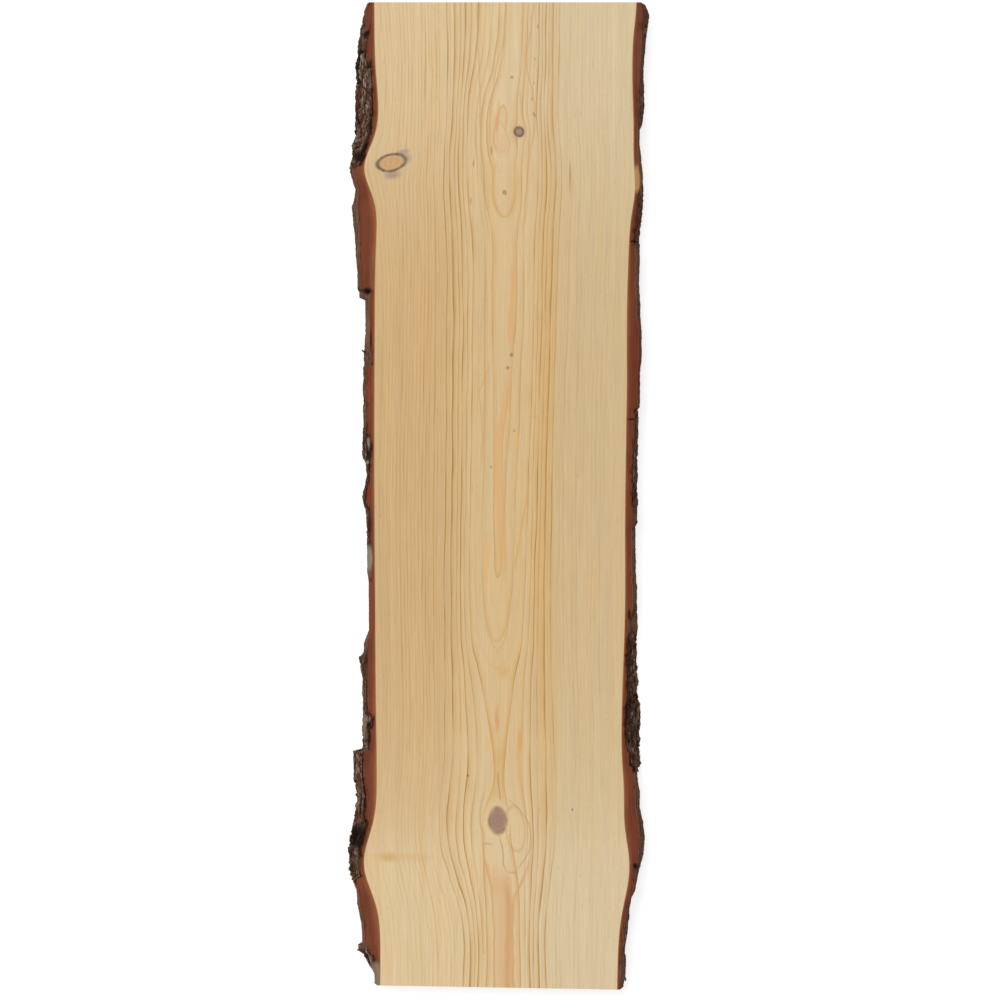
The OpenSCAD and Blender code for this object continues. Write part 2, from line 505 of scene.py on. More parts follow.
FIGURE = (
    # Lines that run in from the head
    Stroke(((-26.7, 630), (-24.9, 555), (-22.5, 499), (-20, 395), (-9.7, 297)), 1.7, "#C29A60"),
    Stroke(((8, 630), (5.1, 554), (-1.8, 526), (-9.7, 462), (-7.9, 412)), 1.8, "#C89E66"),
    Stroke(((46, 630), (37.2, 552), (33.5, 531), (43.9, 474), (36, 395), (28.7, 293)), 2, "#C89C62"),
    # Pink flame and the two loops below it
    Stroke(((1, 484), (-1, 460.5), (-4.5, 442.5), (-4, 427), (0.5, 418), (8, 411)), 2.6, "#D89E66", 0.6),
    Stroke(((1, 461), (5, 451), (11, 440), (13, 428), (10, 419), (2, 411)), 2.2, "#D6A46E", 0.5),
    Stroke(((-3, 412), (-6.5, 384), (-7, 363), (-3.5, 348), (3, 338.5), (16, 332)), 2.8, "#D6A868", 0.6),
    Stroke(((21, 412), (22.5, 373), (21.5, 358), (17, 344), (12, 338), (0, 332)), 2.8, "#D6A868", 0.6),
    # Orange streaks of the heart
    Stroke(((19.5, 290), (16.5, 239), (14.1, 209), (15.3, 178)), 5, "#D9A76C", 0.7, 0.2),
    Stroke(
        ((12.2, 162), (9.8, 123), (0.7, 68), (-0.6, 32), (5.5, -84), (5.5, -116)), 6.5, "#D8A970", 0.75, 0.2
    ),
    Stroke(((12, 150), (9.8, 111), (5.5, 68), (4.3, 19), (8, -41), (9.2, -108)), 1.6, "#CC9C62"),
    Stroke(((-15.2, -40), (-13.5, -68), (-13.9, -90), (-16, -110)), 4.5, "#D9AC70", 0.65, 0.2),
    Stroke(((38.4, 32), (35.3, 7), (29.9, -28), (22.6, -69), (19.8, -100)), 2.6, "#D2A262", 0.7),
    Stroke(((26, 30), (16.5, -2), (14.7, -23), (16.5, -52)), 1.8, "#D4AA70"),
    Stroke(((-8, 168), (-17.6, 141), (-23.7, 125), (-21.9, 111), (-20, 80), (-21.3, 26)), 1.8, "#C89E62"),
    Stroke(((30.5, -276), (24.4, -312), (25, -334), (30.5, -366)), 3.6, "#D9A468", 0.6),
    # Loops towards the knot at the foot
    Stroke(((-18.8, -120), (-16.4, -147), (-11.5, -170), (0, -193)), 2, "#CCA264"),
    Stroke(((15.3, -120), (11.6, -156), (6.8, -175), (-4, -193)), 2, "#CCA264"),
    Stroke(((-1.2, -334), (0.1, -353), (3.4, -374)), 1.3, "#9A7A5A", 0.65),
    Stroke(((-2.4, -410), (3.1, -423), (5.5, -434), (6.1, -448), (12, -460)), 1.4, "#AC8660", 0.65),
    Stroke(((-16, -356), (-22.5, -388), (-20.5, -404), (-15, -422)), 2, "#C39E68", 0.55),
    Stroke(((5, -364), (22, -378), (35, -395), (39.5, -418), (35, -437), (17, -462)), 2, "#C29A62", 0.6),
    # Forked streak below the knot
    Stroke(((2, -440), (5, -474), (6.5, -529), (7, -640)), 13.5, "#D5AE80", 0.8, 0.75),
    Stroke(((9.2, -458), (12.2, -504), (11.6, -553), (9.2, -640)), 6, "#CD9660", 0.65, 0.1),
    Stroke(((-2, -474), (-2.5, -530), (-1, -640)), 4.5, "#DDBE94", 0.5, 0.1),
    Stroke(((-22, -422), (-15.2, -451), (-10.3, -473), (-7.2, -498), (-6.6, -640)), 2, "#C99A62", 0.65),
    Stroke(
        ((40.5, -430), (33.5, -458), (25, -476), (18.9, -492), (17.7, -522), (19.7, -640)), 3, "#CE9C64", 0.65
    ),
    Stroke(((-14, -444), (-10.9, -463), (-6, -488)), 3, "#D9A468", 0.65),
)
# The near-black spots are painted shade in cracks, holes and hollows of the bark; the others are its own
# colour.
LEFT_MARKS = (
    BarkStainAndShade(-159.5, 583, 5, 20, "#76412C", 0.85, 0.6),
    BarkStainAndShade(-157.5, 543, 5, 18, "#76412C", 0.85, 0.6),
    BarkStainAndShade(-161.5, 563.5, 6, 4, "#1E0F0A", 0.9, 0.3),
    BarkStainAndShade(-157.5, 523, 7, 3, "#1E0F0A", 0.85, 0.3),
    BarkStainAndShade(-173, 415, 11, 11, "#120906", 0.85, 0.3),
    BarkStainAndShade(-163, 424, 4, 14, "#120906", 0.85, 0.3, -35),
    BarkStainAndShade(-159.5, 250, 8, 5.5, "#1A0D08", 0.9, 0.3),
    BarkStainAndShade(-160, 200, 4.5, 34, "#845F4C", 0.75, 0.4),
    BarkStainAndShade(-155.5, 190, 1.8, 20, "#2A1810", 0.8, 0.3),
    BarkStainAndShade(-158.5, 66, 3, 8, "#B09A82", 0.8, 0.3),
    BarkStainAndShade(-159, 50, 4.5, 9, "#1A0E09", 0.85, 0.3),
    BarkStainAndShade(-160, 41, 3, 3, "#B8A590", 0.7, 0.3),
    BarkStainAndShade(-157.5, -36, 4.5, 20, "#3A2116", 0.7, 0.3),
    BarkStainAndShade(-158.5, -76, 6.5, 21, "#9A8C78", 0.9, 0.5),
    BarkStainAndShade(-156, -136, 9, 44, "#82482A", 0.8, 0.6),
    BarkStainAndShade(-157, -102, 5, 5, "#4A2616", 0.6, 0.2),
    BarkStainAndShade(-157.5, -279, 3, 6, "#1E0F0A", 0.95, 0.3, -25),
    BarkStainAndShade(-165, -281, 5, 24, "#8A7562", 0.8, 0.4),
    BarkStainAndShade(-173.5, -415, 14, 20, "#140C08", 0.9, 0.5),
    BarkStainAndShade(-171, -449, 9, 14, "#6A452F", 0.5, 0.3),
    BarkStainAndShade(-149.5, -584, 10, 20, "#8E7862", 0.9, 0.6),
)
# The near-black spots are painted shade in cracks, holes and hollows of the bark; the others are its own
# colour.
RIGHT_MARKS = (
    BarkStainAndShade(178, 590, 13, 20, "#6E4234", 0.75, 0.5),
    BarkStainAndShade(174, 525, 9, 60, "#744C3C", 0.5, 0.4),
    BarkStainAndShade(168.5, 386, 7, 21, "#B58A60", 0.9, 0.5),
    BarkStainAndShade(170, 338, 8, 38, "#643A2C", 0.5, 0.5),
    BarkStainAndShade(165, 310, 7, 2, "#1E0F0A", 0.9, 0.3),
    BarkStainAndShade(168, 160, 9, 90, "#6C3121", 0.55, 0.4),
    BarkStainAndShade(162, 93.5, 8, 1.8, "#1E0F0A", 0.85, 0.3, 4),
    BarkStainAndShade(169, 98, 5, 1.8, "#1E0F0A", 0.85, 0.3, 55),
    BarkStainAndShade(159.5, -145, 3, 10, "#1C0F0A", 0.85, 0.3),
    BarkStainAndShade(161, -200, 3, 16, "#1C0F0A", 0.7, 0.2),
    BarkStainAndShade(160, -255, 3.5, 22, "#24120C", 0.7, 0.2),
    BarkStainAndShade(166.5, -450.5, 4, 5, "#150A06", 0.95, 0.3),
    BarkStainAndShade(153, -582, 8, 16, "#7A5A4A", 0.65, 0.4),
)


@dataclass(frozen=True)
class Rings:
    """Growth rings about the pith; lengths in millimetres, along the plank as shares from the head."""

    width: float = 4.1
    phase: float = 0.24
    heart_radius: float = 76.0
    edge_radius: float = 156.0
    left_calm: float = 149.0
    right_calm: float = 157.0
    drift_reach: float = 42.0
    least_rise: float = 0.08
    patch_length: float = 90.0
    lane_gap: float = 3.7
    pith_depth: Pairs = (
        *((0.0, 36.6), (0.06, 36.4), (0.1, 36.0), (0.125, 35.2), (0.153, 35.9), (0.166, 37.3), (0.18, 37.5)),
        *((0.2, 37.8), (0.212, 38.9), (0.221, 40.3), (0.3, 41.0), (0.376, 42.2), (0.46, 43.2), (0.55, 43.7)),
        *((0.585, 44.1), (0.615, 45.6), (0.65, 48.2), (0.677, 52.3), (0.7, 54.0), (0.74, 55.6), (0.82, 55.8)),
        *((0.87, 54.0), (0.9, 52.0), (0.94, 50.8), (1.0, 50.2)),
    )
    pith_shift: Pairs = (
        *((0.0, 4.0), (0.28, 3.7), (0.45, 0.4), (0.63, -0.6), (0.76, 1.8), (0.85, -0.6)),
        *((0.93, 6.5), (1.0, 8.0)),
    )
    heart_drift: Pairs = (
        *((0.0, 20.0), (0.06, 14.0), (0.11, 1.5), (0.15, 1.5), (0.22, 5.0), (0.4, 4.0), (0.52, 1.0)),
        *((0.65, -2.0), (0.83, 0.0), (1.0, -3.0)),
    )
    heart_half: Pairs = (
        *((0.0, 66.5), (0.12, 66.5), (0.17, 69.5), (0.24, 66.0), (0.45, 63.0), (0.63, 62.7), (0.76, 64.5)),
        *((0.845, 67.5), (0.89, 58.0), (0.93, 49.0), (1.0, 48.0)),
    )
    left_half: Pairs = (
        *((0.0, 152.0), (0.13, 147.0), (0.165, 163.0), (0.22, 152.0), (0.5, 148.0), (0.78, 148.0)),
        *((0.855, 165.0), (0.93, 152.0), (1.0, 147.0)),
    )
    right_half: Pairs = (
        *((0.0, 166.0), (0.1, 162.0), (0.18, 166.0), (0.25, 160.0), (0.6, 154.0), (0.79, 154.0)),
        *((0.855, 164.0), (0.92, 155.0), (1.0, 148.0)),
    )
    vigour: Pairs = ((0.0, 0.55), (0.2, 0.85), (0.4, 1.0), (0.7, 1.0), (0.83, 0.52), (1.0, 0.38))
    contrast: Pairs = (
        *((30.0, 0.7), (55.0, 0.72), (68.0, 0.86), (74.0, 1.0), (78.0, 0.98), (82.0, 0.72), (95.0, 0.74)),
        *((112.0, 0.66), (130.0, 0.43), (160.0, 0.26)),
    )

    def radius(self, graph: Graph, bent: Node, share: Node) -> tuple[Node, Node, Node]:
        """Add the distance from the pith, which the growth rings follow.

        Args:
            graph: Graph to add to.
            bent: Position in millimetres, moved round the knots.
            share: Share of the length from the head.

        Returns:
            Node with the distance, node with the offset from the pith line and node with the growth of
            the distance across the face, a millimetre.
        """
        parts = graph.add("SeparateXYZ", bent).outputs
        sway = graph.ramp(graph.streaks(bent, 45, 260, 1.0), 0.3, 0.7, -1.3, 1.3)
        tremble = graph.ramp(graph.streaks(bent, 9, 60, 0.6), 0.3, 0.7, -0.55, 0.55)
        across = graph.math("ADD", parts["X"], graph.math("ADD", sway, tremble))
        near = graph.bell(graph.math("DIVIDE", across, self.drift_reach))
        drift = graph.along(share, self.heart_drift)
        middle = graph.math("MULTIPLY_ADD", drift, near, graph.along(share, self.pith_shift))
        offset = graph.math("SUBTRACT", across, middle)
        away = graph.math("ABSOLUTE", offset)
        heart = graph.along(share, self.heart_half)
        inside = graph.math("MINIMUM", graph.math("DIVIDE", away, heart), 1.0)
        beyond = graph.math("MAXIMUM", graph.math("SUBTRACT", away, heart), 0.0)
        depth = graph.along(share, self.pith_depth)
        deep = graph.square(depth)
        reach = graph.math("SUBTRACT", self.heart_radius**2, deep)
        root = graph.math("SQRT", graph.math("MULTIPLY_ADD", graph.square(inside), reach, deep))
        rise = graph.math("DIVIDE", graph.product(inside, reach), graph.product(heart, root))
        slope = self._outer_slope(graph, share, offset, heart, beyond)
        top = graph.math("MULTIPLY_ADD", beyond, slope, root)
        below = graph.math("SUBTRACT", THICKNESS, parts["Z"])
        double = graph.math("SUBTRACT", graph.product(depth, 2.0), below)
        left = graph.math("SUBTRACT", graph.square(top), graph.product(below, double))
        return graph.math("SQRT", graph.math("MAXIMUM", left, 0.0)), offset, rise

    def _outer_slope(self, graph: Graph, share: Node, offset: Node, heart: Node, beyond: Node) -> Node:
        """Add how fast the distance from the pith grows in the sapwood, so that its rings follow the edge.

        Args:
            graph: Graph to add to.
            share: Share of the length from the head.
            offset: Offset from the pith line.
            heart: Half-width of the heart.
            beyond: Distance past the heart.

        Returns:
            Node with the growth.
        """
        right = graph.math("GREATER_THAN", offset, 0.0)
        edges = [graph.along(share, half) for half in (self.left_half, self.right_half)]
        edge = graph.mix(right, *edges, "FLOAT")
        outer = graph.math("DIVIDE", beyond, graph.math("SUBTRACT", edge, heart))
        calm = graph.mix(right, self.left_calm, self.right_calm, "FLOAT")
        swell = graph.math("SUBTRACT", edge, calm)
        true_edge = graph.math("MULTIPLY_ADD", swell, graph.square(outer), calm)
        room = graph.math("SUBTRACT", true_edge, heart)
        return graph.math("DIVIDE", self.edge_radius - self.heart_radius, room)

    def _strength(
        self, graph: Graph, place: Node, share: Node, radius: Node, offset: Node, ring: Node
    ) -> Source:
        """Add how strong each line is, ring by ring and from place to place.

        Args:
            graph: Graph to add to.
            place: Position in millimetres.
            share: Share of the length from the head.
            radius: Distance from the pith.
            offset: Offset from the pith line.
            ring: Number of the ring.

        Returns:
            Node with the strength.
        """
        chance = graph.add("TexWhiteNoise", ring, noise_dimensions="1D")
        run = graph.math("MULTIPLY", graph.add("SeparateXYZ", place).outputs["Y"], 1 / self.patch_length)
        lane = graph.add("CombineXYZ", graph.math("MULTIPLY", ring, self.lane_gap), run)
        patchy = graph.add("TexNoise", lane, 1.0, 2.0, noise_dimensions="2D")
        outward = graph.ramp(radius, 0.0, SPAN)
        fade = graph.curve(outward, [(at / SPAN, size) for at, size in self.contrast])
        sapwood = graph.ramp(graph.math("ABSOLUTE", offset), 48.0, 80.0)
        vigour = graph.mix(sapwood, 1.0, graph.curve(share, self.vigour), "FLOAT")
        return graph.product(
            graph.ramp(chance, 0.0, 1.0, 0.25, 1.3),
            graph.ramp(patchy, 0.3, 0.7, 0.35, 1.4),
            graph.product(fade, vigour),
            graph.step(offset, 58.0, 74.0, 1.0, 0.42),
        )

    def lines(
        self, graph: Graph, place: Node, share: Node, radius: Node, offset: Node, rise: Node
    ) -> tuple[Source, Source]:
        """Add the latewood.

        Args:
            graph: Graph to add to.
            place: Position in millimetres.
            share: Share of the length from the head.
            radius: Distance from the pith.
            offset: Offset from the pith line.
            rise: Growth of that distance across the face, a millimetre.

        Returns:
            Node with the strength of the dark line and node with that of the tint before it.
        """
        even = graph.math("MULTIPLY_ADD", radius, 1 / self.width, self.phase)
        spread = graph.add("TexNoise", even, 0.7, 0.0, noise_dimensions="1D")
        uneven = graph.step(radius, 56.0, 72.0, 0.0, 0.6)
        count = graph.math("MULTIPLY_ADD", spread, uneven, even)
        turn = graph.math("FRACT", count)
        to_edge = graph.math("MULTIPLY", graph.math("SUBTRACT", 1.0, turn), self.width)
        back = graph.math("DIVIDE", to_edge, graph.math("MAXIMUM", rise, self.least_rise))
        power = self._strength(graph, place, share, radius, offset, graph.math("FLOOR", count))
        strong = graph.product(power, graph.step(back, 0.0, 0.5))
        tint = graph.product(graph.step(back, 0.8, 9.0, 1.0, 0.0), graph.step(turn, 0.0, 0.45))
        return graph.product(graph.step(back, 0.5, 2.4, 1.0, 0.0), strong), graph.product(tint, strong)


@dataclass(frozen=True)
class PlanedSoftwood:
    """Planed pine: cream earlywood with tan latewood lines and a satin, unsealed face."""

    name: str = "Planed_pine"
    rings: Rings = Rings()
    sap_left: str = "#CDAC7D"
    sap_right: str = "#CEB58B"
    heart: str = "#D4B88A"
    tan_band: str = "#CFAC74"
    pale_left: str = "#DDC59B"
    pale_right: str = "#D8C49F"
    warm: str = "#D9B47C"
    late: str = "#B0854A"
    late_flat: str = "#D2A35F"
    duct: str = "#9C7A50"
    end_tint: str = "#EBD9BC"
    sway: float = 3.5
    paling: Pairs = (
        *((0.0, 0.95), (0.1, 0.8), (0.2, 0.35), (0.35, 0.0), (0.6, 0.0), (0.78, 0.25), (0.84, 0.6)),
        *((0.9, 0.95), (1.0, 1.0)),
    )
    knots: tuple[Knot, ...] = KNOTS
    marks: tuple[Spot, ...] = MARKS
    figure: tuple[Stroke, ...] = FIGURE

    def base(self, graph: Graph, place: Node, offset: Node, share: Node) -> Node:
        """Add the colour of the earlywood.

        Args:
            graph: Graph to add to.
            place: Position in millimetres.
            offset: Offset from the pith line.
            share: Share of the length from the head.

        Returns:
            Node with the colour.
        """
        lean = graph.step(offset, -30.0, 60.0)
        sides = graph.mix(lean, self.sap_left, self.sap_right)
        outside = graph.step(graph.math("ABSOLUTE", offset), 36.0, 74.0)
        band = graph.step(graph.gap(offset, 58.0), 4.0, 20.0, 0.75, 0.0)
        early = graph.mix(band, graph.mix(outside, self.heart, sides), self.tan_band)
        pale = graph.mix(lean, self.pale_left, self.pale_right)
        early = graph.mix(graph.curve(share, self.paling), early, pale)
        shade = graph.ramp(graph.streaks(place, 9, 420, 2.0), 0.3, 0.7, 0.965, 1.03)
        most = graph.ramp(offset, 60.0, 90.0, 0.5, 0.3)
        warm = graph.ramp(graph.streaks(place, 5, 300, 2.0), 0.42, 0.72, 0.0, most)
        return graph.mix(warm, graph.times(early, shade), self.warm)

    def drawn(self, graph: Graph, place: Node, colour: Node) -> Node:
        """Draw the figure, the marks and the knots over a colour, with a little sway.

        Args:
            graph: Graph to add to.
            place: Position in millimetres.
            colour: Colour below.

        Returns:
            Node with the colour.
        """
        jitter = graph.add("TexNoise", place, 0.045, 1.0)
        centred = graph.vector("SUBTRACT", jitter.outputs["Color"], (0.5, 0.5, 0.5))
        swayed = graph.vector("MULTIPLY_ADD", centred, (self.sway, self.sway, 0.0), place)
        for mark in self.figure + self.marks + self.knots:
            colour = mark.paint(graph, swayed, colour)
        return colour

    def material(self) -> Material:
        """Make the material.

        Returns:
            The material.
        """
        material, graph = new_material(self.name)
        place = millimetres(graph)
        share = graph.ramp(graph.add("SeparateXYZ", place).outputs["Y"], HEAD_Y, FOOT_Y)
        bent = place
        for knot in self.knots:
            bent = knot.bend(graph, bent)
        radius, offset, rise = self.rings.radius(graph, bent, share)
        late, tint = self.rings.lines(graph, place, share, radius, offset, rise)
        away = graph.math("ABSOLUTE", offset)
        flat = graph.step(away, 6.0, 46.0, 0.8, 0.42)
        crisp = graph.step(away, 6.0, 34.0, 0.56, 1.0)
        early = self.base(graph, place, offset, share)
        colour = graph.mix(graph.product(tint, flat), early, self.late_flat)
        colour = graph.mix(graph.product(late, crisp), colour, self.late)
        fibre = graph.streaks(bent, 1.3, 45, 3.0, 0.65)
        colour = graph.times(colour, graph.ramp(fibre, 0.25, 0.75, 0.915, 1.075))
        duct = graph.ramp(graph.streaks(place, 1.1, 9, 1.0), 0.7, 0.8, 0.0, 0.35)
        colour = self.drawn(graph, place, graph.mix(duct, colour, self.duct))
        facing = graph.add("SeparateXYZ", graph.add("NewGeometry").outputs["Normal"])
        dusk = graph.mix(graph.math("ABSOLUTE", facing.outputs["Y"]), "#FFFFFF", self.end_tint)
        colour = graph.add("Mix", 1.0, colour, dusk, data_type="RGBA", blend_type="MULTIPLY")
        height = graph.math("MULTIPLY_ADD", fibre, 0.4, graph.math("MULTIPLY", late, -0.4))
        graph.surface(colour, height, bump=(0.12, 0.0004), roughness=0.62, specular=0.25)
        return material


@dataclass(frozen=True)
class PineBark:
    """Pine bark: smooth red-brown where sawn, and dark fibrous scales outside."""

    name: str
    sawn: str
    sawn_inner: str
    marks: tuple[Spot, ...]
    sawn_outer: str = "#64341F"
    sawn_line: str = "#B58A5C"
    crack: str = "#2C140C"
    scale_dark: str = "#34241B"
    scale_mid: str = "#684E3E"
    scale_pale: str = "#A8917B"
    scale_red: str = "#6A3D2B"
    rim: str = "#805C49"
    # Near-black colour of the painted shade in furrows, seams and crevices
    crevice_shade: str = "#150C08"

    def sawn_face(self, graph: Graph, place: Node, shag: NodeSocket) -> Node:
        """Add the colour of the sawn bark.

        Args:
            graph: Graph to add to.
            place: Position in millimetres.
            shag: Roughness of the bark outside.

        Returns:
            Node with the colour.
        """
        streak = graph.streaks(place, 2.2, 50, 3.0, 0.6)
        inward = graph.attribute("from_wood")
        outward = graph.attribute("from_skin")
        share = graph.math("DIVIDE", inward, graph.math("ADD", inward, outward))
        layer = graph.math("ADD", share, graph.ramp(streak, 0.3, 0.7, -0.16, 0.16))
        stops = ((0.05, self.sawn_inner), (1.0, self.sawn_outer), (0.4, self.sawn), (0.8, self.sawn))
        line = graph.step(inward, 0.2, 1.4, 0.5, 0.0)
        sawn = graph.mix(line, graph.add("ValToRGB", layer, stops=stops), self.sawn_line)
        patch = graph.ramp(graph.streaks(place, 14, 55, 2.0), 0.3, 0.7, 0.86, 1.12)
        sawn = graph.times(graph.times(sawn, patch), graph.ramp(streak, 0.3, 0.7, 0.9, 1.1))
        rind = graph.ramp(outward, 0.3, 6.0, 0.26, -0.08)
        worn = graph.math("MULTIPLY_ADD", rind, shag, graph.streaks(place, 1.5, 11, 3.0, 0.65))
        sawn = graph.mix(graph.ramp(worn, 0.62, 0.76, 0.0, 0.9), sawn, self.crack)
        rim = graph.mix(graph.ramp(shag, 0.45, 0.9), self.rim, self.crack)
        return graph.mix(graph.step(outward, 0.0, 1.6, 0.75, 0.0), sawn, rim)

    def outer_face(self, graph: Graph, place: Node, shag: NodeSocket) -> Node:
        """Add the colour of the weathered bark, with painted shade in its furrows, seams and crevices.

        Args:
            graph: Graph to add to.
            place: Position in millimetres.
            shag: Roughness of the bark outside.

        Returns:
            Node with the colour.
        """
        fibre = graph.streaks(place, 0.9, 6, 4.0, 0.7)
        mixed = graph.math("MULTIPLY_ADD", fibre, 1.7, graph.attribute("tone"))
        stops = ((0.0, self.scale_dark), (1.0, self.scale_pale), (0.5, self.scale_mid))
        outer = graph.add("ValToRGB", graph.math("SUBTRACT", mixed, 0.9), stops=stops)
        blotch = graph.add("TexNoise", place, 0.05, 3.0, 0.6)
        outer = graph.mix(graph.step(blotch, 0.48, 0.6, 0.0, 0.45), outer, self.scale_red)
        outer = graph.mix(graph.step(shag, 0.3, 1.1, 0.75, 0.0), outer, self.rim)
        # Painted shade: the relief's furrows, seams and crevices, and the feet of loose scales, darken towards
        # near black.
        return graph.mix(graph.attribute("crevice_shade"), outer, self.crevice_shade)

    def material(self) -> Material:
        """Make the material.

        Returns:
            The material.
        """
        material, graph = new_material(self.name)
        place = millimetres(graph)
        weathered = graph.attribute("weathered")
        shag = graph.attribute("shag")
        colour = graph.mix(weathered, self.sawn_face(graph, place, shag), self.outer_face(graph, place, shag))
        for mark in self.marks:
            colour = mark.paint(graph, place, colour)
        height = graph.math("MULTIPLY", graph.add("TexNoise", place, 0.9, 4.0, 0.7), weathered)
        graph.surface(colour, height, bump=(0.6, 0.001), roughness=0.85, specular=0.05)
        return material


@dataclass
class SawnBoard:
    """The board itself, which keeps its solid."""

    node: str
    finish: PlanedSoftwood

    def dress(self) -> Object:
        """Give the solid its finish.

        Returns:
            The dressed object.
        """
        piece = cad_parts[self.node]
        piece.data.materials.clear()
        piece.data.materials.append(self.finish.material())
        return piece


@dataclass
class BarkStrip:
    """A strip of bark along one side, modelled over its solid; lengths in millimetres.

    Places along it are measured from the head: shag pairs them with a roughness, crevices with a depth and
    a reach, and splinters with a length and the angle at which they stand off.
    """

    name: str
    node: str
    board: str
    side: Side
    finish: PineBark
    shag: Pairs
    crevices: Triples
    splinters: Triples
    columns: int = 1280
    band_rows: int = 11
    flank_rows: int = 26
    under_rows: int = 7
    wall_rows: int = 4
    plate_length: float = 34.0
    plate_height: float = 7.0
    scale_length: float = 7.0
    scale_height: float = 2.6
    scale_count: int = 800
    scale_margin: float = 14.0
    scale_pale: float = 0.9
    bare_below: float = 0.35
    splinter_z: float = 8.0
    splinter_height: float = 0.22
    splinter_thickness: float = 1.6
    splinter_pale: float = 0.35
    least_bark: float = 1.2
    slope_step: tuple[float, float] = (5.0, 3.0)

    def _tree(self, node: str) -> BVHTree:
        """Make a search tree of a solid's faces.

        Args:
            node: Name of the solid.

        Returns:
            The search tree.
        """
        shape = bmesh.new()
        shape.from_mesh(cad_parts[node].data)
        tree = BVHTree.FromBMesh(shape)
        shape.free()
        return tree

    def _reach(self, tree: BVHTree, y: float, z: float) -> float:
        """Measure how far a solid reaches out from the plank's middle.

        Args:
            tree: Search tree of the solid.
            y: Place along the plank.
            z: Height.

        Returns:
            Distance from the middle.
        """
        z = min(max(z, RAY_INSET), THICKNESS - RAY_INSET)
        start = Vector((self.side.value * RAY_START, y, z)) * MM
        hit = tree.ray_cast(start, Vector((-self.side.value, 0.0, 0.0)))[0]
        return abs(hit.x) / MM

    def _station(self, share: float, x: float) -> float:
        """Find a section's place along the plank, as the foot is sawn out of square."""
        return HEAD_Y + share * (FOOT_Y + FOOT_SLOPE * x * self.side.value - HEAD_Y)

    def _edge(self, tree: BVHTree, share: float, z: float) -> tuple[float, float]:
        """Find where a section meets the outside of a solid.

        Args:
            tree: Search tree of the solid.
            share: Share of the length from the head.
            z: Height.

        Returns:
            Distance from the middle and place along the plank.
        """
        share = min(max(share, END_GAP), 1 - END_GAP)
        near = self._reach(tree, self._station(min(share, LAST_GUESS), HALF_WIDTH), z)
        y = self._station(share, near)
        return self._reach(tree, y, z), y

    def _roughness(self, y: float) -> float:
        """Look up how rough the bark is at a place along the plank."""
        return float(np.interp(HEAD_Y - y, *zip(*self.shag)))

    def _relief(self, y: float, z: float) -> tuple[float, float, float]:
        """Work out the bark's relief.

        Args:
            y: Place along the plank.
            z: Height.

        Returns:
            Height over the solid's skin, tone of the scale and depth of shade, the last two 0 to 1.
        """
        seed = self.side.value * 7.3
        bend = noise.noise_vector(Vector((y / 40, z / 18, seed)))
        plate_at = Vector((y / self.plate_length, z / self.plate_height, seed)) + bend * 0.25
        gaps, centres = noise.voronoi(plate_at)
        furrow = 1 - ease(0.02, 0.13, gaps[1] - gaps[0])
        plate = noise.noise(centres[0] * 13.7)
        scale_at = Vector((y / self.scale_length, z / self.scale_height, seed + 9)) + bend * 0.4
        edges, middles = noise.voronoi(scale_at)
        seam = 1 - ease(0.0, 0.16, edges[1] - edges[0])
        lift = noise.noise(middles[0] * 9.1)
        tilt = scale_at.x - middles[0].x
        ridge = noise.fractal(Vector((y / 13, z / 2.6, seed + 4)), 0.8, 2.0, 3)
        fine = noise.fractal(Vector((y / 2.4, z / 1.5, seed)), 0.8, 2.1, 3)
        rough = self._roughness(y)
        calm = min(rough, 1.0)
        layers = 0.5 * plate + 1.0 * lift + 0.5 * tilt + 0.8 * ridge - 1.4 * furrow - 0.6 * seam + 0.2
        height = rough * layers + (0.15 + 0.25 * calm) * fine
        # Painted shade: darker in furrows and seams and less on ridges; the next line adds more at the top of a
        # rough flank, just below the sawn edge.
        shade = calm * (1.1 * furrow + 0.85 * seam - 0.5 * ridge - 0.4 * fine)
        shade += 0.5 * max(rough - 0.5, 0.0) * ease(THICKNESS - 9, THICKNESS - 1, z) * (0.6 - ridge)
        for at, depth, reach in self.crevices:
            cut = math.exp(-(((HEAD_Y - y - at) / reach) ** 2)) * ease(THICKNESS - 14, THICKNESS - 4, z)
            height -= depth * cut
            # More painted shade where the crevices are cut into the relief.
            shade += 0.9 * cut
        tone = 0.5 + calm * (0.8 * lift + 0.5 * plate)
        return height, min(max(tone, 0.0), 1.0), min(max(shade, 0.0), 1.0)

    def _profile(self, share: float, trees: Trees) -> list[tuple]:
        """Lay out one cross-section of the strip.

        Args:
            share: Share of the length from the head.
            trees: Search trees of the board and of the bark.

        Returns:
            Rows of x, y, z, distance from the wood and from the skin, tone, shade and roughness.
        """
        board, bark = trees
        rough = self._roughness(self._station(share, HALF_WIDTH))
        skins = []
        for i in range(self.flank_rows + 1):
            z = THICKNESS * (1 - i / self.flank_rows)
            wall = self._edge(board, share, z)[0]
            skin, y = self._edge(bark, share, z)
            height, tone, shade = self._relief(y, z)
            flat = 1 - 0.45 * ease(THICKNESS - 5, THICKNESS, z)
            skin = max(skin + height * flat, wall + self.least_bark)
            skins.append((skin, z, skin - wall, 0.0, tone, shade, rough))
        top, low = skins[0], skins[-1]
        rows = []
        for i in range(self.band_rows):
            x = top[0] - top[2] * (1 - i / self.band_rows)
            rows.append((x, THICKNESS, x - top[0] + top[2], top[0] - x, *top[4:]))
        rows += skins
        for i in range(1, self.under_rows + 1):
            x = low[0] - low[2] * i / self.under_rows
            rows.append((x, 0.0, x - low[0] + low[2], low[0] - x, *low[4:]))
        for i in range(1, self.wall_rows):
            z = THICKNESS * i / self.wall_rows
            rows.append((self._edge(board, share, z)[0], z, 0.0, 9.0, 0.5, 0.0, rough))
        rows.append(rows[0])
        return [(x, self._station(share, x), *rest) for x, *rest in rows]

